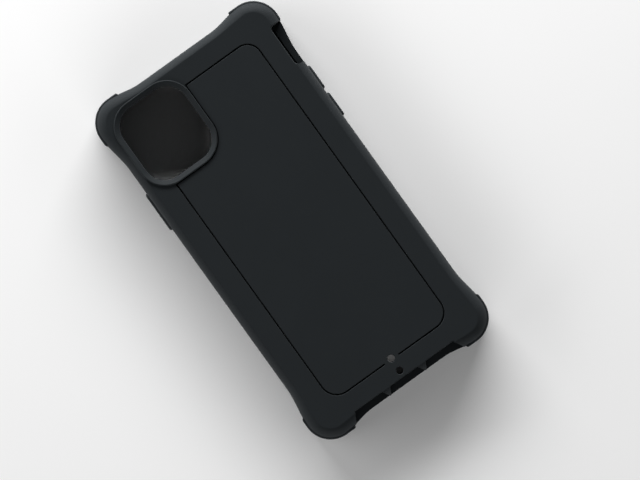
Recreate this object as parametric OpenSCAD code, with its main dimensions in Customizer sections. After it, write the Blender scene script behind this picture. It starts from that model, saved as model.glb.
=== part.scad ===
// Protective phone case: soft bumper frame, stiff inlaid back plate, camera bezel,
// four corner pads and three side buttons. It lies face down: the front lip is on z = 0
// and the back faces +Z. +Y runs towards the camera end and +X towards the volume buttons.

/* [Handset] */
// Width of the handset that the case holds
handset_w = 75.7; // [64:0.1:82]
// Length of the handset
handset_l = 150.9; // [138:0.1:172]
// Thickness of the handset
handset_t = 8.3; // [6.5:0.1:10]
// Corner radius of the handset in plan
handset_r = 10; // [8:0.5:12]
// Gap between the handset and the case on every side
handset_gap = 0.1; // [0.05:0.05:0.3]

/* [Walls] */
// Thickness of the long side walls
side_wall = 2.5; // [2:0.05:3.5]
// Thickness of the end walls
end_wall = 3.3; // [2.5:0.05:4.5]
// Thickness of the back wall
back_wall = 2; // [1.6:0.1:3]
// Height of the front lip
lip_h = 1.4; // [1:0.1:2.5]
// How far the front lip reaches over the handset
lip_reach = 1.2; // [0.8:0.1:2]
// Width of the rounded edge at the back, seen from behind
back_round = 3.2; // [2:0.1:3.6]
// Angle at which the rounded edge leaves the back
back_crease = 20; // [5:1:35]
// Rounding of the outer edge at the front
front_round = 1.2; // [0.6:0.1:1.3]

/* [Flared corners] */
// How far the corners stand out of the sides
flare_side = 1.8; // [1:0.05:3]
// How far the corners stand out of the ends
flare_end = 1.85; // [1:0.05:3]
// Length of the flare along a side
flare_side_run = 17; // [10:0.5:22]
// Length of the flare along an end
flare_end_run = 14.5; // [8:0.5:18]
// Outer radius of a flared corner in plan
corner_r = 10.75; // [8:0.05:13]

/* [Corner pads] */
// How far a pad stands out of the corner
pad_proud = 0.45; // [0.2:0.05:1]
// How deep a pad is let into the frame
pad_inset = 1.35; // [0.8:0.05:1.6]
// How far a pad runs along the side, past the corner's arc
pad_side_run = 3.8; // [1:0.1:6]
// How far a pad runs along the end, past the corner's arc
pad_end_run = 4.5; // [1:0.1:5]
// Height of a pad
pad_h = 7.2; // [4:0.1:8]
// Lower edge of a pad above the front
pad_z = 1.7; // [1.3:0.1:3]
// Rounding of a pad's outer edges
pad_round = 0.7; // [0.3:0.1:0.8]

/* [Back plate] */
// Width of the dark groove round the plate's island
groove_w = 0.65; // [0.4:0.05:1.2]
// Depth of the groove, which is the height of the island
groove_d = 1; // [0.6:0.1:1.2]
// Distance from the case's side to the groove's middle line
rim_side = 11.85; // [8:0.05:16]
// Distance from the case's camera end to the groove's middle line
rim_top = 11.45; // [10:0.05:16]
// Distance from the case's port end to the groove's middle line
rim_bottom = 11.55; // [10.6:0.05:16]
// Corner radius of the groove at the camera end
island_top_r = 6; // [3:0.5:10]
// Corner radius of the groove at the port end
island_bottom_r = 7; // [3:0.5:10]
// Width of the plate's hidden flange beyond the groove
flange_w = 3; // [1.5:0.1:3.6]
// How far the flange stays inside the handset's side
flange_side_gap = 1.6; // [1:0.1:1.8]
// How far the flange stays inside the handset's camera end
flange_top_gap = 1.5; // [1:0.1:1.8]
// How much smaller the flange's corner radius is than the handset space's
flange_r_less = 2.1; // [1:0.1:4]

/* [Camera window] */
// Distance from the handset's side to the window
camera_side = 2.75; // [2.6:0.05:5]
// Distance from the handset's camera end to the window
camera_end = 2.35; // [2.3:0.05:6]
// Width of the window
camera_w = 29.7; // [20:0.1:36]
// Length of the window
camera_l = 32.9; // [24:0.1:40]
// Corner radius of the window
camera_r = 9; // [6:0.1:11]
// Width of the raised bezel round the window
bezel_w = 2.3; // [1.5:0.1:2.8]
// How far the bezel's outer edge stands out of the back
bezel_proud = 0.5; // [0.3:0.1:1]
// How much lower the bezel is at the window than at its outer edge
bezel_drop = 0.9; // [0.3:0.1:1]
// Rounding of the bezel's edges
bezel_round = 0.35; // [0.1:0.05:0.5]

/* [Lanyard holes] */
// Diameter of a lanyard hole
lanyard_d = 3; // [2:0.1:3.6]
// How far the middle of the hole in the plate is inside the groove's middle line
lanyard_inset = 0.4; // [0:0.1:2]
// Plate left between its hole and the tab's sides
tab_side = 1.85; // [1.4:0.05:3]
// Plate left between its hole and the tab's end
tab_tip = 0.9; // [0.7:0.1:1.2]
// Gap between the plate's flange and the hole in the rim
lanyard_gap = 0.575; // [0.3:0.025:0.7]

/* [Side cut-outs] */
// Lower edge of every cut-out above the front
cutout_z = 2.8; // [2.6:0.1:4]
// Distance from the corner's arc to the mute-switch cut-out
mute_from_corner = 3.15; // [2:0.05:8]
// Gap between the mute-switch cut-out and the pad beside it
mute_gap = 0.1; // [0.05:0.05:1]
// Length of the mute-switch cut-out
mute_l = 18.5; // [10:0.1:22]
// How far the mute-switch cut-out reaches into the rim, past the handset's side
mute_bite = 0.95; // [0.5:0.05:1.2]
// Inner corner radius of the mute-switch cut-out
mute_r = 2; // [1:0.1:4]
// Width of the middle port cut-out at the outer face
port_mid_w = 16.6; // [11:0.1:18]
// Width of the two outer port cut-outs at the outer face
port_side_w = 16.6; // [8:0.1:17]
// Web between the middle port cut-out and each outer one, at the outer face
port_web = 0.5; // [0.4:0.05:4]
// How much narrower a port cut-out is at each end of its inner edge
port_taper = 1.7; // [0:0.1:2.5]

/* [Buttons] */
// Height of the button caps
button_h = 3.6; // [2.5:0.1:4.5]
// How far the caps stand out of the side
button_proud = 0.9; // [0.4:0.05:1.2]
// Rounding of a cap's outer edge
button_round = 0.8; // [0.3:0.1:1]
// Length of a volume button
volume_l = 11.1; // [6:0.1:14]
// Gap between the mute-switch cut-out and the upper volume button
volume_from_mute = 2.35; // [1.5:0.05:8]
// Gap between the two volume buttons
volume_gap = 2; // [1.8:0.1:6]
// Length of the power button
power_l = 17.5; // [8:0.1:24]
// Distance from the handset's camera end to the power button
power_from_end = 33.65; // [20:0.05:50]
// How far a button travels
button_travel = 0.35; // [0.2:0.05:0.4]
// Gap between a cap and its slot, all round
button_gap = 0.15; // [0.1:0.05:0.25]
// How far a cap's retaining flange reaches past the cap
button_flange = 0.6; // [0.4:0.05:0.7]
// Thickness of the retaining flange
button_flange_t = 0.5; // [0.4:0.05:0.6]
// Play between the flange and the outer face of its recess, at rest
flange_play = 0.1; // [0.05:0.05:0.15]
// What is left between the pressed flange and the handset's space
press_gap = 0.05; // [0:0.05:0.2]

/* [Hidden] */

$fn = 64;
hair = 0.01;
overlap = 0.05;
margin = 1;
reach = 20;

frame_colour = [0.15, 0.17, 0.18];
plate_colour = [0.16, 0.18, 0.19];
trim_colour = [0.2, 0.22, 0.23];

cavity_w = handset_w + 2 * handset_gap;
cavity_l = handset_l + 2 * handset_gap;
cavity_h = handset_t + 2 * handset_gap;
cavity_r = handset_r + handset_gap;
body_w = cavity_w + 2 * side_wall;
body_l = cavity_l + 2 * end_wall;
floor_z = lip_h + cavity_h;
back_z = floor_z + back_wall;
step_z = back_z - groove_d;

corner_x = body_w / 2 + flare_side - corner_r;
corner_y = body_l / 2 + flare_end - corner_r;
flare_steps = 8;
corner_steps = 9;
round_steps = 6;
bezel_steps = 4;
island_steps = 12;

island_half_w = body_w / 2 - rim_side;
island_top = body_l / 2 - rim_top;
island_bottom = body_l / 2 - rim_bottom;
plate_half_w = cavity_w / 2 - flange_side_gap;
plate_top = cavity_l / 2 - flange_top_gap;
plate_bottom = island_bottom + groove_w / 2 + flange_w;
plate_r = cavity_r - flange_r_less;
camera_x = camera_w / 2 + camera_side - cavity_w / 2;
camera_y = cavity_l / 2 - camera_end - camera_l / 2;
notch_x = camera_x + camera_w / 2 + bezel_w + groove_w;
notch_y = camera_y - camera_l / 2 - bezel_w - groove_w;
notch_r = camera_r + bezel_w + groove_w;

lanyard_plate_y = island_bottom - lanyard_inset;
lanyard_rim_y = plate_bottom + lanyard_gap + lanyard_d / 2;
tab_w = lanyard_d + 2 * tab_side;
tab_end = lanyard_plate_y + lanyard_d / 2 + tab_tip;

mute_y = corner_y - mute_from_corner - mute_l / 2;
volume_up_y = mute_y - (mute_l + volume_l) / 2 - volume_from_mute;
volume_down_y = volume_up_y - volume_l - volume_gap;
power_y = cavity_l / 2 - power_from_end - power_l / 2;
port_side_x = (port_mid_w + port_side_w) / 2 + port_web;

button_z = lip_h + cavity_h / 2;
flange_x = cavity_w / 2 + press_gap + button_travel;
recess_x = flange_x + button_flange_t + flange_play;

// Points of an arc about [x, y]
function arc(x, y, r, from, to, steps) =
    [for (i = [0 : steps]) let (a = from + (to - from) * i / steps) [x + r * cos(a), y + r * sin(a)]];

// Smooth step from 0 to 1
function ease(t) = (1 - cos(180 * t)) / 2;

// A quarter of the outline, anticlockwise from the right side to the camera end
function quarter(inset) = concat(
    [for (i = [0 : flare_steps]) let (t = i / flare_steps)
        [body_w / 2 + flare_side * ease(t) - inset, corner_y - flare_side_run * (1 - t)]],
    arc(corner_x, corner_y, corner_r - inset, 90 / corner_steps, 90 - 90 / corner_steps, corner_steps - 2),
    [for (i = [flare_steps : -1 : 0]) let (t = i / flare_steps)
        [corner_x - flare_end_run * (1 - t), body_l / 2 + flare_end * ease(t) - inset]]
);

function turned(points) = [for (i = [len(points) - 1 : -1 : 0]) points[i]];

// The whole outline, anticlockwise, at an inset from the outer face
function outline(inset) = let (q = quarter(inset)) concat(
    q,
    turned([for (p = q) [-p[0], p[1]]]),
    [for (p = q) [-p[0], -p[1]]],
    turned([for (p = q) [p[0], -p[1]]])
);

// Insets and heights of the rounded outer face, from the front to the back
function edge_profile() = let (r = back_round / (1 - sin(back_crease))) concat(
    [for (i = [0 : round_steps]) let (a = 90 * i / round_steps)
        [front_round * (1 - sin(a)), front_round * (1 - cos(a))]],
    [for (i = [0 : round_steps]) let (a = (90 - back_crease) * i / round_steps)
        [r * (1 - cos(a)), back_z - r * (cos(back_crease) - sin(a))]]
);

// A closed solid through a stack of level rings with equally many points, each seen whole from the axis
module stack(rings) {
    n = len(rings[0]);
    last = len(rings) - 1;
    bottom = len(rings) * n;
    points = concat([for (ring = rings) each ring], [[0, 0, rings[0][0][2]], [0, 0, rings[last][0][2]]]);
    walls = [for (k = [0 : last - 1]) for (i = [0 : n - 1]) let (j = (i + 1) % n)
        [k * n + i, (k + 1) * n + i, (k + 1) * n + j, k * n + j]];
    caps = [for (i = [0 : n - 1]) let (j = (i + 1) % n)
        each [[bottom, i, j], [bottom + 1, last * n + j, last * n + i]]];
    polyhedron(points, concat(walls, caps));
}

// A block with rounded corners in plan, standing on z = 0
module rounded_block(w, l, h, r) {
    linear_extrude(h) rounded_plate(w, l, r);
}

module rounded_plate(w, l, r) {
    square([w - 2 * r, l], center = true);
    square([w, l - 2 * r], center = true);
    for (sx = [-1, 1])
        for (sy = [-1, 1])
            translate([sx * (w / 2 - r), sy * (l / 2 - r)]) circle(r);
}

// Sweeps a flat profile round a rounded rectangle: its x is the distance out, its y is the height
module around(w, l, r) {
    for (turn = [0 : 3]) {
        across = turn % 2 == 0 ? w : l;
        along = turn % 2 == 0 ? l : w;
        rotate(90 * turn) {
            translate([across / 2 - r, along / 2 - r, 0]) rotate_extrude(angle = 90)
                translate([r, 0]) children();
            translate([across / 2, along / 2 - r, 0]) rotate([90, 0, 0])
                linear_extrude(along - 2 * r) children();
        }
    }
}

// Outline of the island, grown beyond the groove's middle line by one distance, and by another
// where it runs round the camera bezel
function island_outline(grow, notch_grow) = let (
    right = island_half_w + grow,
    top = island_top + grow,
    bottom = island_bottom + grow,
    top_r = island_top_r + grow,
    bottom_r = island_bottom_r + grow,
    inner_x = notch_x - groove_w / 2 - notch_grow,
    inner_y = notch_y + groove_w / 2 + notch_grow,
    inner_r = notch_r - groove_w / 2 - notch_grow
) concat(
    arc(right - top_r, top - top_r, top_r, 0, 90, island_steps),
    [[inner_x, top]],
    arc(inner_x - inner_r, inner_y + inner_r, inner_r, 0, -90, island_steps),
    [[-right, inner_y]],
    arc(bottom_r - right, bottom_r - bottom, bottom_r, 180, 270, island_steps),
    arc(right - bottom_r, bottom_r - bottom, bottom_r, 270, 360, island_steps)
);

// Outline of the plate's tab, which bridges the groove round the lanyard hole
module tab() {
    r = tab_w / 3;
    translate([-tab_w / 2, r - tab_end]) square([tab_w, tab_end - island_bottom + groove_w + r]);
    translate([r - tab_w / 2, -tab_end]) square([tab_w - 2 * r, tab_w]);
    for (side = [-1, 1])
        translate([side * (tab_w / 2 - r), r - tab_end]) circle(r);
}

module camera_hole(grow) {
    translate([camera_x, camera_y, 0])
        rounded_block(camera_w + 2 * grow, camera_l + 2 * grow, reach, camera_r + grow);
}

// The plate's flange, from a height up to the island's foot
module flange(from) {
    translate([0, (plate_top - plate_bottom) / 2, from])
        rounded_block(2 * plate_half_w, plate_top + plate_bottom, step_z - from, plate_r);
}

module port(x, w) {
    outer = body_l / 2 + flare_end + margin;
    inner = cavity_l / 2 - hair;
    slope = port_taper / end_wall;
    half_out = w / 2 + slope * (outer - body_l / 2);
    half_in = w / 2 - port_taper;
    translate([x, 0, cutout_z]) linear_extrude(reach)
        polygon([[-half_out, -outer], [half_out, -outer], [half_in, -inner], [-half_in, -inner]]);
}

module mute_cutout() {
    inner = cavity_w / 2 - mute_bite;
    translate([inner + mute_r, mute_y, cutout_z]) linear_extrude(reach) {
        square([2 * mute_r, mute_l - 2 * mute_r], center = true);
        translate([reach / 2, 0]) square([reach, mute_l], center = true);
        for (side = [-1, 1])
            translate([0, side * (mute_l / 2 - mute_r)]) circle(mute_r);
    }
}

// A bar with round ends that crosses the side wall, from x0 to x1
module bar(x0, x1, y, l, h) {
    translate([x0, y, button_z]) rotate([90, 0, 90]) rounded_block(l, h, x1 - x0, h / 2 - hair);
}

module button_slot(y, l) {
    start = cavity_w / 2 - margin;
    bar(start, body_w / 2 + button_proud + margin, y, l + 2 * button_gap, button_h + 2 * button_gap);
    grown = 2 * (button_flange + button_gap);
    bar(start, recess_x, y, l + grown, button_h + grown);
}

// Half of a cap's section: its x is the height from the cap's middle line, its y is the depth
module cap_profile(depth) {
    square([button_h / 2, depth - button_round]);
    square([button_h / 2 - button_round, depth]);
    translate([button_h / 2 - button_round, depth - button_round]) circle(button_round);
}

module button(y, l) {
    depth = body_w / 2 + button_proud - flange_x;
    straight = l - button_h;
    translate([flange_x, y, button_z]) {
        for (turn = [0, 180])
            rotate([turn, 0, 0]) translate([0, straight / 2, 0]) rotate([90, 0, 90])
                rotate(-90) rotate_extrude(angle = 180) cap_profile(depth);
        translate([0, straight / 2, 0]) rotate([90, 0, 0]) linear_extrude(straight) rotate(-90) {
            cap_profile(depth);
            mirror([1, 0]) cap_profile(depth);
        }
    }
    bar(flange_x, flange_x + button_flange_t, y, l + 2 * button_flange, button_h + 2 * button_flange);
}

module pad_profile() {
    t = pad_inset + pad_proud;
    square([t - pad_round, pad_h]);
    translate([0, pad_round]) square([t, pad_h - 2 * pad_round]);
    for (z = [pad_round, pad_h - pad_round])
        translate([t - pad_round, z]) circle(pad_round);
}

// A band round one flared corner, with its profile's x measured out from the recess. The one at the
// top right ends at the mute-switch cut-out.
module corner_band(sx, sy) {
    inner_r = corner_r - pad_inset;
    side_run = sx > 0 && sy > 0 ? mute_from_corner - mute_gap : pad_side_run;
    mirror([sx < 0 ? 1 : 0, 0, 0]) mirror([0, sy < 0 ? 1 : 0, 0]) translate([corner_x, corner_y, pad_z]) {
        rotate_extrude(angle = 90) translate([inner_r, 0]) children();
        translate([inner_r, 0, 0]) rotate([90, 0, 0]) linear_extrude(side_run) children();
        mirror([1, -1, 0]) translate([inner_r, 0, 0]) rotate([90, 0, 0])
            linear_extrude(pad_end_run) children();
    }
}

module corner_pad(sx, sy) {
    color(trim_colour) corner_band(sx, sy) pad_profile();
}

module pad_recesses() {
    for (sx = [-1, 1])
        for (sy = [-1, 1])
            corner_band(sx, sy) square([pad_inset + pad_proud + margin, pad_h]);
}

module bumper_frame() {
    color(frame_colour) difference() {
        stack([for (e = edge_profile()) [for (p = outline(e[0])) [p[0], p[1], e[1]]]]);
        translate([0, 0, lip_h]) rounded_block(cavity_w, cavity_l, cavity_h, cavity_r);
        translate([0, 0, -margin]) rounded_block(cavity_w - 2 * lip_reach, cavity_l - 2 * lip_reach,
            lip_h + 2 * margin, cavity_r - lip_reach);
        flange(floor_z - margin);
        translate([0, 0, step_z]) linear_extrude(reach)
            polygon(island_outline(groove_w / 2, groove_w / 2 + overlap));
        translate([0, 0, step_z]) linear_extrude(reach) tab();
        translate([0, 0, step_z]) camera_hole(bezel_w);
        translate([0, -lanyard_rim_y, floor_z - margin]) cylinder(h = reach, d = lanyard_d);
        mute_cutout();
        port(0, port_mid_w);
        for (side = [-1, 1])
            port(side * port_side_x, port_side_w);
        for (y = [volume_up_y, volume_down_y])
            button_slot(y, volume_l);
        mirror([1, 0, 0]) button_slot(power_y, power_l);
        pad_recesses();
    }
}

module back_plate() {
    color(plate_colour) difference() {
        union() {
            flange(floor_z);
            translate([0, 0, step_z - hair]) linear_extrude(groove_d + hair) {
                polygon(island_outline(-groove_w / 2, -groove_w / 2));
                tab();
            }
        }
        camera_hole(0);
        translate([0, -lanyard_plate_y, 0]) cylinder(h = reach, d = lanyard_d);
    }
}

// The bezel is highest at its outer edge and falls towards the window
module camera_bezel() {
    r = bezel_round;
    top = groove_d + bezel_proud;
    slope = atan(bezel_drop / (bezel_w - 2 * r));
    color(trim_colour) translate([camera_x, camera_y, step_z]) around(camera_w, camera_l, camera_r)
        polygon(concat(
            [[0, 0], [bezel_w, 0]],
            arc(bezel_w - r, top - r, r, 0, 90 + slope, bezel_steps),
            arc(r, top - bezel_drop - r, r, 90 + slope, 180, bezel_steps)
        ));
}

module corner_pad_top_left() {
    corner_pad(-1, 1);
}

module corner_pad_top_right() {
    corner_pad(1, 1);
}

module corner_pad_bottom_left() {
    corner_pad(-1, -1);
}

module corner_pad_bottom_right() {
    corner_pad(1, -1);
}

module volume_up_button() {
    color(trim_colour) button(volume_up_y, volume_l);
}

module volume_down_button() {
    color(trim_colour) button(volume_down_y, volume_l);
}

module power_button() {
    color(trim_colour) mirror([1, 0, 0]) button(power_y, power_l);
}

bumper_frame();
back_plate();
camera_bezel();
corner_pad_top_left();
corner_pad_top_right();
corner_pad_bottom_left();
corner_pad_bottom_right();
volume_up_button();
volume_down_button();
power_button();
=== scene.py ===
"""Looks of a protective phone case: soft frame, inlaid plate, camera bezel, corner pads, side buttons."""

import math
from functools import partial

import bmesh
import bpy
from bpy.props import FloatProperty, FloatVectorProperty, PointerProperty
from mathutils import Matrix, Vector


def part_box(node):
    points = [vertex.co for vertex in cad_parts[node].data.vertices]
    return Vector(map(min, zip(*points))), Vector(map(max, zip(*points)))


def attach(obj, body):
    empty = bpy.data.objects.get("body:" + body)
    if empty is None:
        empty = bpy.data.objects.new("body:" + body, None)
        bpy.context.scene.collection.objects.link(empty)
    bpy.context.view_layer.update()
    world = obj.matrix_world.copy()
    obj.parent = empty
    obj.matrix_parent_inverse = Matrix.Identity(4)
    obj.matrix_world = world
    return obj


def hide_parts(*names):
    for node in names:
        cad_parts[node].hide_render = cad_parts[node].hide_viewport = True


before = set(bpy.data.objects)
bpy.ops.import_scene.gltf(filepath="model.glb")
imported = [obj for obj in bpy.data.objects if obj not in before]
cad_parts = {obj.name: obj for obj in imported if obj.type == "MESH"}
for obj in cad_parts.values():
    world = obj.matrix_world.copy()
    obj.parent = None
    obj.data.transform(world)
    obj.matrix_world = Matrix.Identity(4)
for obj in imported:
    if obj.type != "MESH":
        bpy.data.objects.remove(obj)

bl_info = {
    "name": "Phone case looks",
    "version": (1, 0, 0),
    "blender": (4, 5, 0),
    "location": "3D Viewport > Sidebar > Phone case",
    "description": "Builds the visible pieces of a protective phone case around its packed frame",
    "category": "Object",
}

MM = 0.001
QUARTER = math.pi / 2

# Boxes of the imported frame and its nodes, in metres
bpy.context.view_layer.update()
FRAME_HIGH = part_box("bumper_frame")[1]
PLATE_LOW, PLATE_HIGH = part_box("back_plate")
BEZEL_LOW, BEZEL_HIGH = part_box("camera_bezel")
PAD_LOW, PAD_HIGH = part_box("corner_pad_top_right")

# Heights of the case's back and of the floor of the handset's space
BACK_Z = FRAME_HIGH.z
FLOOR_Z = PLATE_LOW.z

# Each corner pad's node, with the signs of its corner's x and y
PADS = {
    "corner_pad_top_right": (1, 1),
    "corner_pad_top_left": (-1, 1),
    "corner_pad_bottom_left": (-1, -1),
    "corner_pad_bottom_right": (1, -1),
}

# Each button's node, with the body that moves with it
BUTTONS = {
    "volume_up_button": "volume_up",
    "volume_down_button": "volume_down",
    "power_button": "power",
}

# Margins of the cutters: HAIR keeps two faces out of one plane, the others are what runs past a cut
HAIR = 0.01 * MM
BEYOND = 6 * MM
PAST_PORT = 2 * MM
PAST_PAD = 3 * MM
BEFORE_SLOT = 1 * MM

# Points closer than this are welded
WELD = 0.002 * MM

# Straight steps that a round stretch is made of
FLARE_STEPS = 20
CORNER_STEPS = 28
ROUNDING_STEPS = 12
SPACE_STEPS = 16
WINDOW_STEPS = 24
BEZEL_STEPS = 32
BEZEL_EDGE_STEPS = 12
ISLAND_STEPS = 14
NOTCH_STEPS = 24
TAB_STEPS = 10
MUTE_STEPS = 10
HOLE_STEPS = 40
BREAK_STEPS = 7
BUTTON_STEPS = 18
CROWN_STEPS = 10
PAD_STEPS = 32
PAD_EDGE_STEPS = 8
PAD_END_STEPS = 7

# Angles above which an edge is shaded sharp
SHARP = math.radians(15)
PAD_SHARP = math.radians(30)

# How strongly large faces lead the shading normals, where 50 is neutral
NORMAL_WEIGHT = 80


def length(name, description, millimetres):
    """A length property whose default is given in millimetres."""
    return FloatProperty(name=name, description=description, default=millimetres * MM, min=0,
                         unit="LENGTH", precision=5)


class CaseSizes(bpy.types.PropertyGroup):
    """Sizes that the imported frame's boxes don't give."""

    side_x: length("Side", "Half the width between the straight sides", 40.45)
    end_y: length("End", "Half the length between the straight ends", 78.85)
    corner_r: length("Corner radius", "Outer radius of a flared corner", 10.75)
    flare_side_run: length("Side flare", "Length of the flare along a side", 17)
    flare_end_run: length("End flare", "Length of the flare along an end", 14.5)
    back_round: length("Back rounding", "Width of the rounded edge at the back, seen from behind", 3.2)
    back_corner: length("Corner rounding", "How much wider the rounded edge is at a flared corner", 0.9)
    ridge: length("Ridge", "Width of the fine bevel where the rounded edge meets the back", 0.12)
    back_crease: FloatProperty(
        name="Back crease", description="Angle at which the rounded edge leaves the back",
        default=math.radians(20), min=0, max=math.radians(60), subtype="ANGLE")
    front_round: length("Front rounding", "Rounding of the outer edge at the front", 1.2)
    lip_h: length("Lip height", "Height of the front lip", 1.4)
    lip_reach: length("Lip reach", "How far the lip reaches over the handset", 1.2)
    lip_edge: length("Lip edge", "Bevel of the lip's inner edge at the front", 0.35)
    cavity_x: length("Space, half width", "Half the width of the handset's space", 37.95)
    cavity_y: length("Space, half length", "Half the length of the handset's space", 75.55)
    cavity_r: length("Space radius", "Corner radius of the handset's space", 10.1)
    groove_w: length("Groove width", "Width of the groove round the island", 0.65)
    groove_d: length("Groove depth", "Depth of the groove", 1.0)
    island_x: length("Island, half width", "Half the width across the groove's middle line", 28.6)
    island_top: length("Island top", "Distance to the groove at the camera end", 67.4)
    island_bottom: length("Island bottom", "Distance to the groove at the port end", 67.3)
    island_top_r: length("Island top radius", "Corner radius of the groove at the camera end", 6)
    island_bottom_r: length("Island bottom radius", "Corner radius of the groove at the port end", 7)
    plate_r: length("Flange radius", "Corner radius of the plate's hidden flange", 8)
    bezel_w: length("Bezel width", "Width of the raised bezel", 2.3)
    bezel_drop: length("Bezel drop", "How much lower the bezel is at the window than outside", 0.9)
    bezel_round: length("Bezel rounding", "Rounding of the bezel's edges", 0.35)
    camera_r: length("Window radius", "Corner radius of the camera window", 9)
    lanyard_r: length("Lanyard radius", "Radius of a lanyard hole", 1.5)
    lanyard_plate_y: length("Plate hole", "Distance to the hole in the plate", 66.9)
    lanyard_pitch: length("Hole pitch", "Distance between the lanyard holes", 5.8)
    tab_w: length("Tab width", "Width of the plate's tab round its hole", 6.7)
    tab_past: length("Tab end", "How far the tab reaches past its hole", 0.9)
    tab_root: length("Tab root", "How far the tab starts inside the groove's middle line", 2)
    cutout_z: length("Cut-out height", "Lower edge of every cut-out", 2.8)
    mute_x: length("Mute bite", "Inner edge of the mute-switch cut-out", 37.0)
    mute_y: length("Mute middle", "Middle of the mute-switch cut-out", 57.55)
    mute_l: length("Mute length", "Length of the mute-switch cut-out", 18.5)
    mute_r: length("Mute radius", "Inner corner radius of the mute-switch cut-out", 2)
    port_mid_w: length("Middle port", "Width of the middle port cut-out", 16.6)
    port_side_w: length("Outer port", "Width of an outer port cut-out", 16.6)
    port_side_x: length("Outer port place", "Middle of an outer port cut-out", 17.1)
    port_taper: length("Port taper", "How much narrower a port is at each inner end", 1.7)
    button_gap: length("Button gap", "Gap between a button and its slot", 0.15)
    button_crown: length("Button crown", "Rounding of a button's outer face", 0.9)
    button_flange: length("Button flange", "How far a button's flange reaches past the cap", 0.6)
    button_flange_t: length("Flange thickness", "Thickness of a button's flange", 0.5)
    button_flange_edge: length("Flange edge", "Bevel of a button's flange", 0.12)
    recess_x: length("Flange recess", "Outer face of the recess for the button flanges", 38.95)
    pad_inset: length("Pad inset", "How deep a corner pad is let in", 1.35)
    pad_round: length("Pad rounding", "Rounding of a pad's outer edges", 0.7)
    pad_run: length("Pad end", "Length over which a pad's ends are rounded down to the frame", 0.9)
    pad_drop: length("Pad end drop", "How much a pad's ends are rounded down", 0.62)
    edge: length("Edge break", "Small rounding of the groove's and the slots' edges", 0.18)
    hole_edge: length("Hole edge", "Rounding of a lanyard hole's edge", 0.252)
    port_edge: length("Port edge", "Rounding of a port cut-out's edge at the back", 0.288)
    mute_edge: length("Mute edge", "Rounding of the mute-switch cut-out's edge at the back", 0.45)


class CaseColours(bpy.types.PropertyGroup):
    """Colours of the case's finishes."""

    shell: FloatVectorProperty(name="Shell", description="Soft-touch shell and plate", subtype="COLOR",
                               size=3, min=0, max=1, default=(0.0116, 0.0144, 0.0163))
    trim: FloatVectorProperty(name="Trim", description="Bezel and corner pads", subtype="COLOR",
                              size=3, min=0, max=1, default=(0.0123, 0.0152, 0.0171))
    button: FloatVectorProperty(name="Buttons", description="Side buttons", subtype="COLOR",
                                size=3, min=0, max=1, default=(0.0119, 0.0148, 0.0167))
    floor: FloatVectorProperty(name="Floor", description="Pale studio floor", subtype="COLOR",
                               size=3, min=0, max=1, default=(0.93, 0.93, 0.93))


# ---------------------------------------------------------------- outlines


def turns(whole, steps):
    """Evenly spaced angles from 0 to a whole, in radians."""
    return [whole * i / steps for i in range(steps + 1)]


def arc(x, y, r, start, end, steps):
    """Points of an arc about (x, y), angles in degrees."""
    angles = [math.radians(start + (end - start) * i / steps) for i in range(steps + 1)]
    return [(x + r * math.cos(a), y + r * math.sin(a)) for a in angles]


def ease(t):
    """Smooth step from 0 to 1."""
    return (1 - math.cos(math.pi * t)) / 2


def rounded_rectangle(w, l, r, x, y, steps):
    """Outline of a rounded rectangle about (x, y), anticlockwise."""
    cx, cy = w / 2 - r, l / 2 - r
    corners = [(cx, cy, 0), (-cx, cy, 90), (-cx, -cy, 180), (cx, -cy, 270)]
    return [p for px, py, a in corners for p in arc(x + px, y + py, r, a, a + 90, steps)]


def stadium(half, r):
    """Outline of a bar with round ends: half the distance between the ends' middles, and their radius."""
    return arc(half, 0, r, -90, 90, BUTTON_STEPS) + arc(-half, 0, r, 90, 270, BUTTON_STEPS)


def case_outline(s, inset, corner_inset):
    """The case's outline, anticlockwise from the right side; corner_inset is added at the corners."""
    flare_side = FRAME_HIGH.x - s.side_x - corner_inset
    flare_end = FRAME_HIGH.y - s.end_y - corner_inset
    cx, cy = FRAME_HIGH.x - s.corner_r, FRAME_HIGH.y - s.corner_r
    shares = [i / FLARE_STEPS for i in range(FLARE_STEPS + 1)]
    side = [(s.side_x + flare_side * ease(t) - inset, cy - s.flare_side_run * (1 - t)) for t in shares]
    end = [(cx - s.flare_end_run * (1 - t), s.end_y + flare_end * ease(t) - inset) for t in shares[::-1]]
    corner = arc(cx, cy, s.corner_r - inset - corner_inset, 0, 90, CORNER_STEPS)
    quarter = side + corner[1:-1] + end
    left = [(-x, y) for x, y in reversed(quarter)]
    bottom = [(-x, -y) for x, y in quarter]
    right = [(x, -y) for x, y in reversed(quarter)]
    return quarter + left + bottom + right


def space_outline(s, grow):
    """Outline of the handset's space."""
    return rounded_rectangle(2 * (s.cavity_x + grow), 2 * (s.cavity_y + grow), s.cavity_r + grow,
                             0, 0, SPACE_STEPS)


def flange_outline(s):
    """Outline of the plate's hidden flange."""
    size = PLATE_HIGH - PLATE_LOW
    middle = (PLATE_HIGH + PLATE_LOW) / 2
    return rounded_rectangle(size.x, size.y, s.plate_r, 0, middle.y, SPACE_STEPS)


def window_outline(s, grow, steps):
    """Outline of the camera window; grown by the bezel's width it is the bezel's."""
    size = BEZEL_HIGH - BEZEL_LOW
    middle = (BEZEL_HIGH + BEZEL_LOW) / 2
    wider = 2 * (grow - s.bezel_w)
    return rounded_rectangle(size.x + wider, size.y + wider, s.camera_r + grow, middle.x, middle.y, steps)


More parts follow.
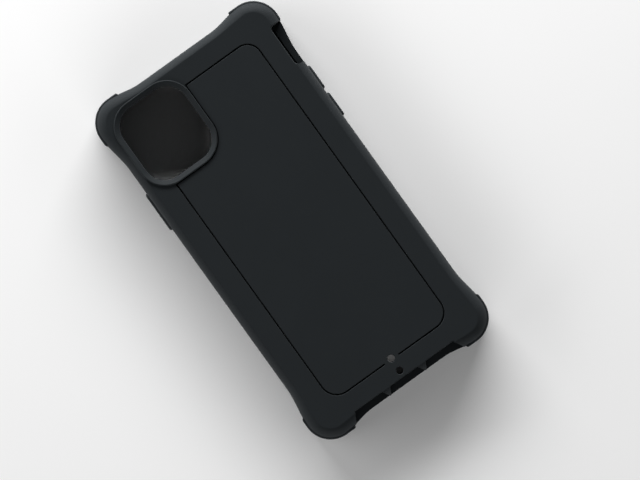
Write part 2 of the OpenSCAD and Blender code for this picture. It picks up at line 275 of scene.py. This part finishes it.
def island_outline(s, grow, notch_grow):
    """Outline of the groove's middle line, grown, and by another amount at the bezel."""
    half = s.groove_w / 2
    right, top, bottom = s.island_x + grow, s.island_top + grow, s.island_bottom + grow
    top_r, bottom_r = s.island_top_r + grow, s.island_bottom_r + grow
    inner_x = BEZEL_HIGH.x + half - notch_grow
    inner_y = BEZEL_LOW.y - half + notch_grow
    inner_r = s.camera_r + s.bezel_w + half - notch_grow
    return (
        arc(right - top_r, top - top_r, top_r, 0, 90, ISLAND_STEPS)
        + [(inner_x, top)]
        + arc(inner_x - inner_r, inner_y + inner_r, inner_r, 0, -90, NOTCH_STEPS)
        + [(-right, inner_y)]
        + arc(bottom_r - right, bottom_r - bottom, bottom_r, 180, 270, ISLAND_STEPS)
        + arc(right - bottom_r, bottom_r - bottom, bottom_r, 270, 360, ISLAND_STEPS)
    )


def island_opening(s, grow):
    """Outline of the frame's opening for the island, which leaves the groove and meets the bezel."""
    half = s.groove_w / 2
    return island_outline(s, half + grow, half + HAIR)


def island_face(s, grow):
    """Outline of the plate's island."""
    half = s.groove_w / 2
    return island_outline(s, grow - half, -grow - half)


def tab_outline(s):
    """Outline of the plate's tab round its lanyard hole, with corners of a third of its width."""
    half = s.tab_w / 2
    r = s.tab_w / 3
    end = s.lanyard_plate_y + s.lanyard_r + s.tab_past
    root = s.tab_root - s.island_bottom
    return (
        arc(r - half, r - end, r, 180, 270, TAB_STEPS)
        + arc(half - r, r - end, r, 270, 360, TAB_STEPS)
        + [(half, root), (-half, root)]
    )


def hole_outline(s, y, grow):
    """Outline of a lanyard hole."""
    last = 360 - 360 / HOLE_STEPS
    return arc(0, y, s.lanyard_r + grow, 0, last, HOLE_STEPS - 1)


def mute_outline(s, grow):
    """Outline of the mute-switch cut-out, open to the right."""
    r = s.mute_r + grow
    x = s.mute_x - grow
    half = s.mute_l / 2 + grow
    outer = FRAME_HIGH.x + BEYOND
    return (
        arc(x + r, s.mute_y + half - r, r, 90, 180, MUTE_STEPS)
        + arc(x + r, s.mute_y - half + r, r, 180, 270, MUTE_STEPS)
        + [(outer, s.mute_y - half), (outer, s.mute_y + half)]
    )


def port_outline(s, x, w, grow):
    """Outline of a port cut-out in the end wall, which widens outward to w at the wall's face."""
    inner = s.cavity_y - HAIR - grow
    outer = s.end_y + PAST_PORT
    slope = s.port_taper / (s.end_y - s.cavity_y)
    half_in = w / 2 - s.port_taper + grow
    half_out = w / 2 + slope * PAST_PORT + grow
    return [(x - half_out, -outer), (x + half_out, -outer), (x + half_in, -inner), (x - half_in, -inner)]


def pad_ends(node):
    """How far from the middle a pad ends, along the side and along the end wall."""
    low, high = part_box(node)
    return min(abs(low.y), abs(high.y)), min(abs(low.x), abs(high.x))


def pad_path(s, node, r, end_steps=0):
    """Points round one corner at a radius, between the ends of its pad, anticlockwise."""
    sx, sy = PADS[node]
    y_end, x_end = pad_ends(node)
    cx, cy = FRAME_HIGH.x - s.corner_r, FRAME_HIGH.y - s.corner_r
    runs = [0] + [s.pad_run * (i / end_steps) ** 2 for i in range(1, end_steps + 1)]
    side = [(cx + r, y_end + run) for run in runs]
    end = [(x_end + run, cy + r) for run in reversed(runs)]
    path = [(sx * x, sy * y) for x, y in side + arc(cx, cy, r, 0, 90, PAD_STEPS) + end]
    return path if sx * sy > 0 else path[::-1]


# ---------------------------------------------------------------- meshes


def new_object(name, data):
    """Adds an object with this data to the scene."""
    obj = bpy.data.objects.new(name, data)
    bpy.context.scene.collection.objects.link(obj)
    return obj


def loft(name, rings):
    """A closed solid through rings of equally many points, capped at both ends."""
    bm = bmesh.new()
    loops = [[bm.verts.new(p) for p in ring] for ring in rings]
    count = len(loops[0])
    for low, high in zip(loops, loops[1:]):
        for i in range(count):
            j = (i + 1) % count
            bm.faces.new((low[i], low[j], high[j], high[i]))
    bm.faces.new(loops[0][::-1])
    bm.faces.new(loops[-1])
    bmesh.ops.recalc_face_normals(bm, faces=bm.faces)
    mesh = bpy.data.meshes.new(name)
    bm.to_mesh(mesh)
    bm.free()
    return new_object(name, mesh)


def upright(name, outline, levels):
    """A loft along Z: outline(grow) gives the points, levels are (z, grow) pairs."""
    return loft(name, [[(x, y, z) for x, y in outline(grow)] for z, grow in levels])


def prism(name, points, low, high):
    """A straight solid on an outline, between two heights."""
    return loft(name, [[(x, y, z) for x, y in points] for z in (low, high)])


def button_bar(name, node, grow, levels):
    """A bar with round ends along X on the side view of a button's box, grown all round.

    The levels are (distance from the case's middle plane, inset) pairs.
    """
    low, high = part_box(node)
    side = math.copysign(1, high.x)
    y, z = (low.y + high.y) / 2, (low.z + high.z) / 2
    r = (high.z - low.z) / 2
    half = (high.y - low.y) / 2 - r
    rings = [[(side * x, y + py, z + pz) for py, pz in stadium(half, r + grow - inset)]
             for x, inset in levels]
    return loft(name, rings)


def rounded_edge(top, edge):
    """Levels of a solid that widens in a quarter circle up to the height top."""
    return [(top - edge + edge * math.sin(a), edge * (1 - math.cos(a)))
            for a in turns(QUARTER, BREAK_STEPS)]


def broken_edge(top, edge):
    """Levels of a cutter that rounds over the edge where it comes out at the height top."""
    return rounded_edge(top, edge) + [(top + BEYOND, edge)]


def apply_modifiers(obj):
    """Makes the result of the object's modifiers its mesh and removes them."""
    evaluated = obj.evaluated_get(bpy.context.evaluated_depsgraph_get())
    mesh = bpy.data.meshes.new_from_object(evaluated)
    obj.modifiers.clear()
    old, obj.data = obj.data, mesh
    bpy.data.meshes.remove(old)


def boolean(target, tool, operation):
    """Applies one exact boolean and removes the tool."""
    modifier = target.modifiers.new(operation.title(), "BOOLEAN")
    modifier.operation = operation
    modifier.solver = "EXACT"
    modifier.object = tool
    apply_modifiers(target)
    bpy.data.objects.remove(tool)
    if not target.data.polygons:
        raise RuntimeError(f"{target.name} vanished in a boolean")


def finish_mesh(obj, material, angle=SHARP):
    """Welds doubles, shades smooth up to an angle with area-weighted normals and gives the material."""
    bm = bmesh.new()
    bm.from_mesh(obj.data)
    bmesh.ops.remove_doubles(bm, verts=bm.verts, dist=WELD)
    bmesh.ops.dissolve_degenerate(bm, edges=bm.edges, dist=WELD)
    bm.to_mesh(obj.data)
    bm.free()
    obj.data.materials.clear()
    obj.data.materials.append(material)
    obj.data.shade_smooth()
    obj.data.set_sharp_from_angle(angle=angle)
    weighted = obj.modifiers.new("Normals", "WEIGHTED_NORMAL")
    weighted.keep_sharp = True
    weighted.weight = NORMAL_WEIGHT
    apply_modifiers(obj)


def shown(obj, body, node):
    """The piece rides on its body and stands for its CAD node."""
    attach(obj, body)
    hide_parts(node)


# ---------------------------------------------------------------- materials

# What all the moulded finishes share: noise scales are per metre, MOTTLE_SHARE is a share of the colour,
# and UNEVENNESS is added to the roughness and taken from it
SPECULAR = 0.06
SHEEN = 0.05
SHEEN_ROUGHNESS = 0.6
MOTTLE_SCALE = 55.0
MOTTLE_SHARE = 0.07
UNEVENNESS = 0.05
GRAIN_SCALE = 4200.0
GRAIN_DEPTH = 0.04 * MM


def node_at(tree, kind, **values):
    """Adds a node and sets its properties, or its sockets where it has no such property."""
    node = tree.nodes.new(kind)
    for key, value in values.items():
        if hasattr(node, key):
            setattr(node, key, value)
        else:
            node.inputs[key].default_value = value
    return node


def moulded(name, colour, roughness, grain):
    """Moulded soft-touch plastic with fine grain, faint mottling and uneven roughness, made once a name."""
    if name in bpy.data.materials:
        return bpy.data.materials[name]
    material = bpy.data.materials.new(name)
    material.use_nodes = True
    tree = material.node_tree
    shader = tree.nodes["Principled BSDF"]
    shader.inputs["Specular IOR Level"].default_value = SPECULAR
    shader.inputs["Sheen Weight"].default_value = SHEEN
    shader.inputs["Sheen Roughness"].default_value = SHEEN_ROUGHNESS
    coordinates = tree.nodes.new("ShaderNodeTexCoord")

    mottle = node_at(tree, "ShaderNodeTexNoise", Scale=MOTTLE_SCALE, Detail=4.0, Roughness=0.6)
    shade = node_at(tree, "ShaderNodeMix", data_type="RGBA")
    shade.inputs["A"].default_value = (*[c * (1 - MOTTLE_SHARE) for c in colour], 1)
    shade.inputs["B"].default_value = (*[c * (1 + MOTTLE_SHARE) for c in colour], 1)
    tree.links.new(coordinates.outputs["Object"], mottle.inputs["Vector"])
    tree.links.new(mottle.outputs["Fac"], shade.inputs["Factor"])
    tree.links.new(shade.outputs["Result"], shader.inputs["Base Color"])

    uneven = tree.nodes.new("ShaderNodeMapRange")
    uneven.inputs["To Min"].default_value = roughness - UNEVENNESS
    uneven.inputs["To Max"].default_value = roughness + UNEVENNESS
    tree.links.new(mottle.outputs["Fac"], uneven.inputs["Value"])
    tree.links.new(uneven.outputs["Result"], shader.inputs["Roughness"])

    fine = node_at(tree, "ShaderNodeTexNoise", Scale=GRAIN_SCALE, Detail=2.0, Roughness=0.5)
    bump = node_at(tree, "ShaderNodeBump", Strength=grain, Distance=GRAIN_DEPTH)
    tree.links.new(coordinates.outputs["Object"], fine.inputs["Vector"])
    tree.links.new(fine.outputs["Fac"], bump.inputs["Height"])
    tree.links.new(bump.outputs["Normal"], shader.inputs["Normal"])
    return material


def shell_material(context):
    """Soft-touch finish of the frame and the plate."""
    return moulded("soft_touch_shell", context.scene.case_colours.shell, roughness=0.6, grain=0.35)


def trim_material(context):
    """Slightly smoother finish of the bezel and the pads."""
    return moulded("matte_trim", context.scene.case_colours.trim, roughness=0.55, grain=0.25)


def button_material(context):
    """Slightly smoother finish of the buttons."""
    return moulded("matte_button", context.scene.case_colours.button, roughness=0.55, grain=0.25)


# ---------------------------------------------------------------- soft frame


def frame_levels(s):
    """Levels of the frame's outer form, front to back: height, inset and added inset at the corners."""
    front = [(s.front_round * (1 - math.cos(a)), s.front_round * (1 - math.sin(a)), 0)
             for a in turns(QUARTER, ROUNDING_STEPS)]
    r = s.back_round / (1 - math.sin(s.back_crease))
    back = [(BACK_Z - r * (math.cos(s.back_crease) - math.sin(a)), r * (1 - math.cos(a)))
            for a in turns(QUARTER - s.back_crease, ROUNDING_STEPS)[:-1]]
    back.append((BACK_Z - s.ridge * math.sin(s.back_crease),
                 s.back_round - s.ridge * math.cos(s.back_crease)))
    back.append((BACK_Z, s.back_round + s.ridge))
    return front + [(z, inset, s.back_corner * inset / s.back_round) for z, inset in back]


def frame_cutters(s):
    """Everything that is cut out of the frame's outer form."""
    step_z = BACK_Z - s.groove_d
    yield prism("space", space_outline(s, 0), s.lip_h, FLOOR_Z)
    inner = -s.lip_reach
    yield upright("lip_opening", partial(space_outline, s), [
        (-BEYOND, inner + s.lip_edge), (0, inner + s.lip_edge), (s.lip_edge, inner), (s.lip_h + HAIR, inner)])
    yield prism("flange_pocket", flange_outline(s), FLOOR_Z - HAIR, step_z)
    yield upright("island_opening", partial(island_opening, s),
                  [(step_z - HAIR, 0)] + broken_edge(BACK_Z, s.edge))
    yield prism("tab_opening", tab_outline(s), step_z - HAIR, BACK_Z + BEYOND)
    bezel = window_outline(s, s.bezel_w, WINDOW_STEPS)
    yield prism("bezel_opening", bezel, step_z - HAIR, BACK_Z + BEYOND)
    rim_hole = partial(hole_outline, s, -s.lanyard_plate_y - s.lanyard_pitch)
    yield upright("rim_hole", rim_hole, [(FLOOR_Z - BEYOND, 0)] + broken_edge(BACK_Z, s.hole_edge))
    yield from cutout_cutters(s)
    yield from slot_cutters(s)
    yield from recess_cutters(s)


def cutout_cutters(s):
    """The mute-switch cut-out and the three port cut-outs, open to the back."""
    yield upright("mute_cutout", partial(mute_outline, s),
                  [(s.cutout_z, 0)] + broken_edge(BACK_Z, s.mute_edge))
    for x, w in ((-s.port_side_x, s.port_side_w), (0, s.port_mid_w), (s.port_side_x, s.port_side_w)):
        port = partial(port_outline, s, x, w)
        yield upright("port_cutout", port, [(s.cutout_z, 0)] + broken_edge(BACK_Z, s.port_edge))


def slot_cutters(s):
    """Slots and flange recesses of the three buttons."""
    start = (s.cavity_x - BEFORE_SLOT, 0)
    mouth = [(x, -grow) for x, grow in broken_edge(s.side_x, s.edge)]
    for node in BUTTONS:
        yield button_bar("button_slot", node, s.button_gap - s.button_flange, [start] + mouth)
        yield button_bar("flange_recess", node, s.button_gap, [start, (s.recess_x, 0)])


def recess_cutters(s):
    """Recesses for the corner pads."""
    for node in PADS:
        inner = pad_path(s, node, s.corner_r - s.pad_inset)
        outer = pad_path(s, node, s.corner_r + PAST_PAD)
        yield prism("pad_recess", inner + outer[::-1], PAD_LOW.z, PAD_HIGH.z)


class CASE_OT_frame(bpy.types.Operator):
    """Build the soft frame with its lip, cut-outs, slots and recesses"""

    bl_idname = "case.frame"
    bl_label = "Bumper frame"

    def execute(self, context):
        s = context.scene.case_sizes
        rings = [[(x, y, z) for x, y in case_outline(s, inset, corner_inset)]
                 for z, inset, corner_inset in frame_levels(s)]
        body = loft("bumper_frame_skin", rings)
        for cutter in frame_cutters(s):
            boolean(body, cutter, "DIFFERENCE")
        finish_mesh(body, shell_material(context))
        shown(body, "shell", "bumper_frame")
        return {"FINISHED"}


# ---------------------------------------------------------------- back plate


class CASE_OT_plate(bpy.types.Operator):
    """Build the stiff back plate with its island, tab, window and lanyard hole"""

    bl_idname = "case.plate"
    bl_label = "Back plate"

    def execute(self, context):
        s = context.scene.case_sizes
        step_z = BACK_Z - s.groove_d
        body = prism("back_plate_inlay", flange_outline(s), FLOOR_Z, step_z)
        rounded = [(z, -grow) for z, grow in rounded_edge(BACK_Z, s.edge)]
        island = upright("island", partial(island_face, s), [(step_z - HAIR, 0)] + rounded)
        boolean(body, island, "UNION")
        boolean(body, prism("tab", tab_outline(s), step_z - HAIR, BACK_Z), "UNION")
        window = prism("window", window_outline(s, 0, WINDOW_STEPS), 0, BACK_Z + BEYOND)
        boolean(body, window, "DIFFERENCE")
        hole = partial(hole_outline, s, -s.lanyard_plate_y)
        levels = [(FLOOR_Z - BEYOND, 0)] + broken_edge(BACK_Z, s.hole_edge)
        boolean(body, upright("plate_hole", hole, levels), "DIFFERENCE")
        finish_mesh(body, shell_material(context))
        shown(body, "shell", "back_plate")
        return {"FINISHED"}


# ---------------------------------------------------------------- swept trim


def sweep_tree():
    """Geometry nodes that sweep a profile curve along a path curve, with closed ends."""
    tree = bpy.data.node_groups.new("Sweep along path", "GeometryNodeTree")
    new_socket = tree.interface.new_socket
    new_socket("Path", in_out="INPUT", socket_type="NodeSocketGeometry")
    new_socket("Profile", in_out="INPUT", socket_type="NodeSocketObject")
    new_socket("Material", in_out="INPUT", socket_type="NodeSocketMaterial")
    new_socket("Mesh", in_out="OUTPUT", socket_type="NodeSocketGeometry")
    start = tree.nodes.new("NodeGroupInput")
    profile = tree.nodes.new("GeometryNodeObjectInfo")
    normal = node_at(tree, "GeometryNodeSetCurveNormal", mode="Z_UP")
    sweep = tree.nodes.new("GeometryNodeCurveToMesh")
    realize = tree.nodes.new("GeometryNodeRealizeInstances")
    paint = tree.nodes.new("GeometryNodeSetMaterial")
    end = tree.nodes.new("NodeGroupOutput")
    sweep.inputs["Fill Caps"].default_value = True
    link = tree.links.new
    link(start.outputs["Path"], normal.inputs["Curve"])
    link(start.outputs["Profile"], profile.inputs["Object"])
    link(normal.outputs["Curve"], sweep.inputs["Curve"])
    link(profile.outputs["Geometry"], sweep.inputs["Profile Curve"])
    link(sweep.outputs["Mesh"], realize.inputs["Geometry"])
    link(realize.outputs["Geometry"], paint.inputs["Geometry"])
    link(start.outputs["Material"], paint.inputs["Material"])
    link(paint.outputs["Geometry"], end.inputs["Mesh"])
    return tree


def poly_curve(name, points, cyclic):
    """A curve object of straight stretches through the points."""
    curve = bpy.data.curves.new(name, "CURVE")
    curve.dimensions = "3D"
    spline = curve.splines.new("POLY")
    spline.points.add(len(points) - 1)
    for point, place in zip(spline.points, points):
        point.co = (*place, 1.0)
    spline.use_cyclic_u = cyclic
    return new_object(name, curve)


def swept(name, path, cyclic, profile, material):
    """A mesh of a closed profile swept along a path; the profile's x goes outward and its y goes up."""
    tree = bpy.data.node_groups.get("Sweep along path") or sweep_tree()
    path_object = poly_curve(name + "_path", path, cyclic)
    # The sweep turns a profile's y axis down
    profile_object = poly_curve(name + "_profile", [(x, -y, 0.0) for x, y in profile], True)
    modifier = path_object.modifiers.new("Sweep", "NODES")
    modifier.node_group = tree
    sockets = {item.name: item.identifier for item in tree.interface.items_tree}
    modifier[sockets["Profile"]] = profile_object
    modifier[sockets["Material"]] = material
    evaluated = path_object.evaluated_get(bpy.context.evaluated_depsgraph_get())
    mesh = bpy.data.meshes.new_from_object(evaluated)
    path_object.modifiers.clear()
    bpy.data.objects.remove(path_object)
    bpy.data.objects.remove(profile_object)
    bm = bmesh.new()
    bm.from_mesh(mesh)
    bmesh.ops.remove_doubles(bm, verts=bm.verts, dist=WELD)
    bmesh.ops.recalc_face_normals(bm, faces=bm.faces)
    bm.to_mesh(mesh)
    bm.free()
    return new_object(name, mesh)


class CASE_OT_bezel(bpy.types.Operator):
    """Sweep the raised bezel round the camera window"""

    bl_idname = "case.bezel"
    bl_label = "Camera bezel"

    def execute(self, context):
        s = context.scene.case_sizes
        path = [(x, y, BEZEL_LOW.z) for x, y in window_outline(s, 0, BEZEL_STEPS)]
        r = s.bezel_round
        top = BEZEL_HIGH.z - BEZEL_LOW.z
        slope = math.degrees(math.atan(s.bezel_drop / (s.bezel_w - 2 * r)))
        profile = (
            [(0, 0), (s.bezel_w, 0)]
            + arc(s.bezel_w - r, top - r, r, 0, 90 + slope, BEZEL_EDGE_STEPS)
            + arc(r, top - s.bezel_drop - r, r, 90 + slope, 180, BEZEL_EDGE_STEPS)
        )
        bezel = swept("camera_bezel_ring", path, True, profile, trim_material(context))
        finish_mesh(bezel, trim_material(context))
        shown(bezel, "shell", "camera_bezel")
        return {"FINISHED"}


def round_end(mesh, axis, end, outer, run, drop):
    """Rounds a pad's end down; axis is the direction in which the pad stands out there."""
    for vertex in mesh.vertices:
        along = (abs(vertex.co[1 - axis]) - end) / run
        if along < 1:
            limit = outer - drop * (1 - math.sqrt(1 - (1 - max(along, 0)) ** 2))
            if abs(vertex.co[axis]) > limit:
                vertex.co[axis] = math.copysign(limit, vertex.co[axis])


class CASE_OT_pads(bpy.types.Operator):
    """Sweep the four raised pads round the corners"""

    bl_idname = "case.pads"
    bl_label = "Corner pads"

    def execute(self, context):
        s = context.scene.case_sizes
        thick = PAD_HIGH.x - FRAME_HIGH.x + s.pad_inset
        tall = PAD_HIGH.z - PAD_LOW.z
        r = s.pad_round
        profile = (
            [(0, 0)]
            + arc(thick - r, r, r, -90, 0, PAD_EDGE_STEPS)
            + arc(thick - r, tall - r, r, 0, 90, PAD_EDGE_STEPS)
            + [(0, tall)]
        )
        for node in PADS:
            route = pad_path(s, node, s.corner_r - s.pad_inset, PAD_END_STEPS)
            path = [(x, y, PAD_LOW.z) for x, y in route]
            pad = swept(node + "_cushion", path, False, profile, trim_material(context))
            y_end, x_end = pad_ends(node)
            round_end(pad.data, 0, y_end, PAD_HIGH.x, s.pad_run, s.pad_drop)
            round_end(pad.data, 1, x_end, PAD_HIGH.y, s.pad_run, s.pad_drop)
            finish_mesh(pad, trim_material(context), PAD_SHARP)
            shown(pad, "shell", node)
        return {"FINISHED"}


# ---------------------------------------------------------------- buttons


class CASE_OT_buttons(bpy.types.Operator):
    """Build the three crowned side buttons with their retaining flanges"""

    bl_idname = "case.buttons"
    bl_label = "Side buttons"

    def execute(self, context):
        s = context.scene.case_sizes
        for node, body in BUTTONS.items():
            low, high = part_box(node)
            back, face = sorted((abs(low.x), abs(high.x)))
            crown = [(face - s.button_crown * (1 - math.sin(a)), s.button_crown * (1 - math.cos(a)))
                     for a in turns(QUARTER, CROWN_STEPS)]
            cap = button_bar(node + "_cap", node, -s.button_flange, [(back, 0)] + crown)
            edge = s.button_flange_edge
            flange = button_bar("flange", node, 0, [
                (back, edge), (back + edge, 0), (back + s.button_flange_t, 0)])
            boolean(cap, flange, "UNION")
            finish_mesh(cap, button_material(context))
            shown(cap, body, node)
        return {"FINISHED"}


# ---------------------------------------------------------------- stage

# Floor: half its side and its thickness, in metres
FLOOR_HALF = 3.0
FLOOR_THICKNESS = 0.02
FLOOR_ROUGHNESS = 0.8

# The camera's turn about the vertical, and the width and middle of what it sees at the case's back
VIEW_TURN = math.radians(-35.65)
VIEW_WIDTH = 251.5 * MM
VIEW_MIDDLE = (4.44 * MM, -12.76 * MM)

# Lens and sensor in millimetres, and the end of the view in metres
LENS = 200
SENSOR_WIDTH = 36
CLIP_END = 20

# Strip lights: name, metres to the view's right, metres to its top, watts
LIGHTS = (
    ("key", -0.2, 1.3, 54),
    ("left", -1.3, 0, 14),
    ("right", 1.3, 0, 5),
    ("low", 0, -1.3, 12),
)

# Height of the strips' middles and their size, in metres, and the strength of the even light
LIGHT_HEIGHT = 0.34
STRIP_LENGTH = 1.8
STRIP_WIDTH = 0.25
AMBIENT = 0.02


def lay_floor(context):
    """The pale floor that the case lies on."""
    square = [(FLOOR_HALF * x, FLOOR_HALF * y) for x, y in ((-1, -1), (1, -1), (1, 1), (-1, 1))]
    floor = prism("studio_floor", square, -FLOOR_THICKNESS, 0)
    material = bpy.data.materials.new("pale_floor")
    material.use_nodes = True
    shader = material.node_tree.nodes["Principled BSDF"]
    shader.inputs["Base Color"].default_value = (*context.scene.case_colours.floor, 1)
    shader.inputs["Roughness"].default_value = FLOOR_ROUGHNESS
    floor.data.materials.append(material)


def set_world(scene):
    """Faint even light from all round."""
    world = bpy.data.worlds.new("studio")
    scene.world = world
    world.use_nodes = True
    background = world.node_tree.nodes["Background"]
    background.inputs["Color"].default_value = (1, 1, 1, 1)
    background.inputs["Strength"].default_value = AMBIENT


def strip_light(name, place, power):
    """A wide, low strip of soft light that faces the case."""
    data = bpy.data.lights.new(name, "AREA")
    data.shape = "RECTANGLE"
    data.size = STRIP_LENGTH
    data.size_y = STRIP_WIDTH
    data.energy = power
    light = new_object(name, data)
    light.location = place
    light.rotation_euler = (-place).to_track_quat("-Z", "Y").to_euler()


def hang_lights():
    """The strip lights, placed about the case as the camera sees it."""
    right = Vector((math.cos(VIEW_TURN), math.sin(VIEW_TURN), 0))
    up = Vector((-math.sin(VIEW_TURN), math.cos(VIEW_TURN), 0))
    height = Vector((0, 0, LIGHT_HEIGHT))
    for name, across, along, power in LIGHTS:
        strip_light(name, right * across + up * along + height, power)


def set_camera(scene):
    """A long lens straight above the case."""
    data = bpy.data.cameras.new("camera")
    data.lens = LENS
    data.sensor_width = SENSOR_WIDTH
    data.clip_end = CLIP_END
    camera = new_object("camera", data)
    camera.location = (*VIEW_MIDDLE, BACK_Z + LENS / SENSOR_WIDTH * VIEW_WIDTH)
    camera.rotation_euler = (0, 0, VIEW_TURN)
    scene.camera = camera


class CASE_OT_stage(bpy.types.Operator):
    """Lay the pale floor, hang the soft lights and set the camera"""

    bl_idname = "case.stage"
    bl_label = "Floor, lights and camera"

    def execute(self, context):
        context.scene.view_settings.view_transform = "Standard"
        lay_floor(context)
        set_world(context.scene)
        hang_lights()
        set_camera(context.scene)
        return {"FINISHED"}


# ---------------------------------------------------------------- add-on


class CASE_PT_panel(bpy.types.Panel):
    """Lists the case's pieces in the 3D view's sidebar"""

    bl_idname = "CASE_PT_panel"
    bl_label = "Phone case"
    bl_space_type = "VIEW_3D"
    bl_region_type = "UI"
    bl_category = "Phone case"

    def draw(self, context):
        for operator in OPERATORS:
            self.layout.operator(operator.bl_idname)
        for group in (context.scene.case_sizes, context.scene.case_colours):
            for key in group.bl_rna.properties.keys():
                if key not in ("rna_type", "name"):
                    self.layout.prop(group, key)


OPERATORS = (CASE_OT_frame, CASE_OT_plate, CASE_OT_bezel, CASE_OT_pads, CASE_OT_buttons, CASE_OT_stage)
CLASSES = (CaseSizes, CaseColours, *OPERATORS, CASE_PT_panel)


def register():
    """Registers the classes and the scene's properties."""
    for cls in CLASSES:
        bpy.utils.register_class(cls)
    bpy.types.Scene.case_sizes = PointerProperty(type=CaseSizes)
    bpy.types.Scene.case_colours = PointerProperty(type=CaseColours)


def unregister():
    """Takes the properties and the classes away again."""
    del bpy.types.Scene.case_colours
    del bpy.types.Scene.case_sizes
    for cls in reversed(CLASSES):
        bpy.utils.unregister_class(cls)


def main():
    """Builds every piece and the stage."""
    register()
    bpy.ops.case.frame()
    bpy.ops.case.plate()
    bpy.ops.case.bezel()
    bpy.ops.case.pads()
    bpy.ops.case.buttons()
    bpy.ops.case.stage()


if __name__ == "__main__":
    main()
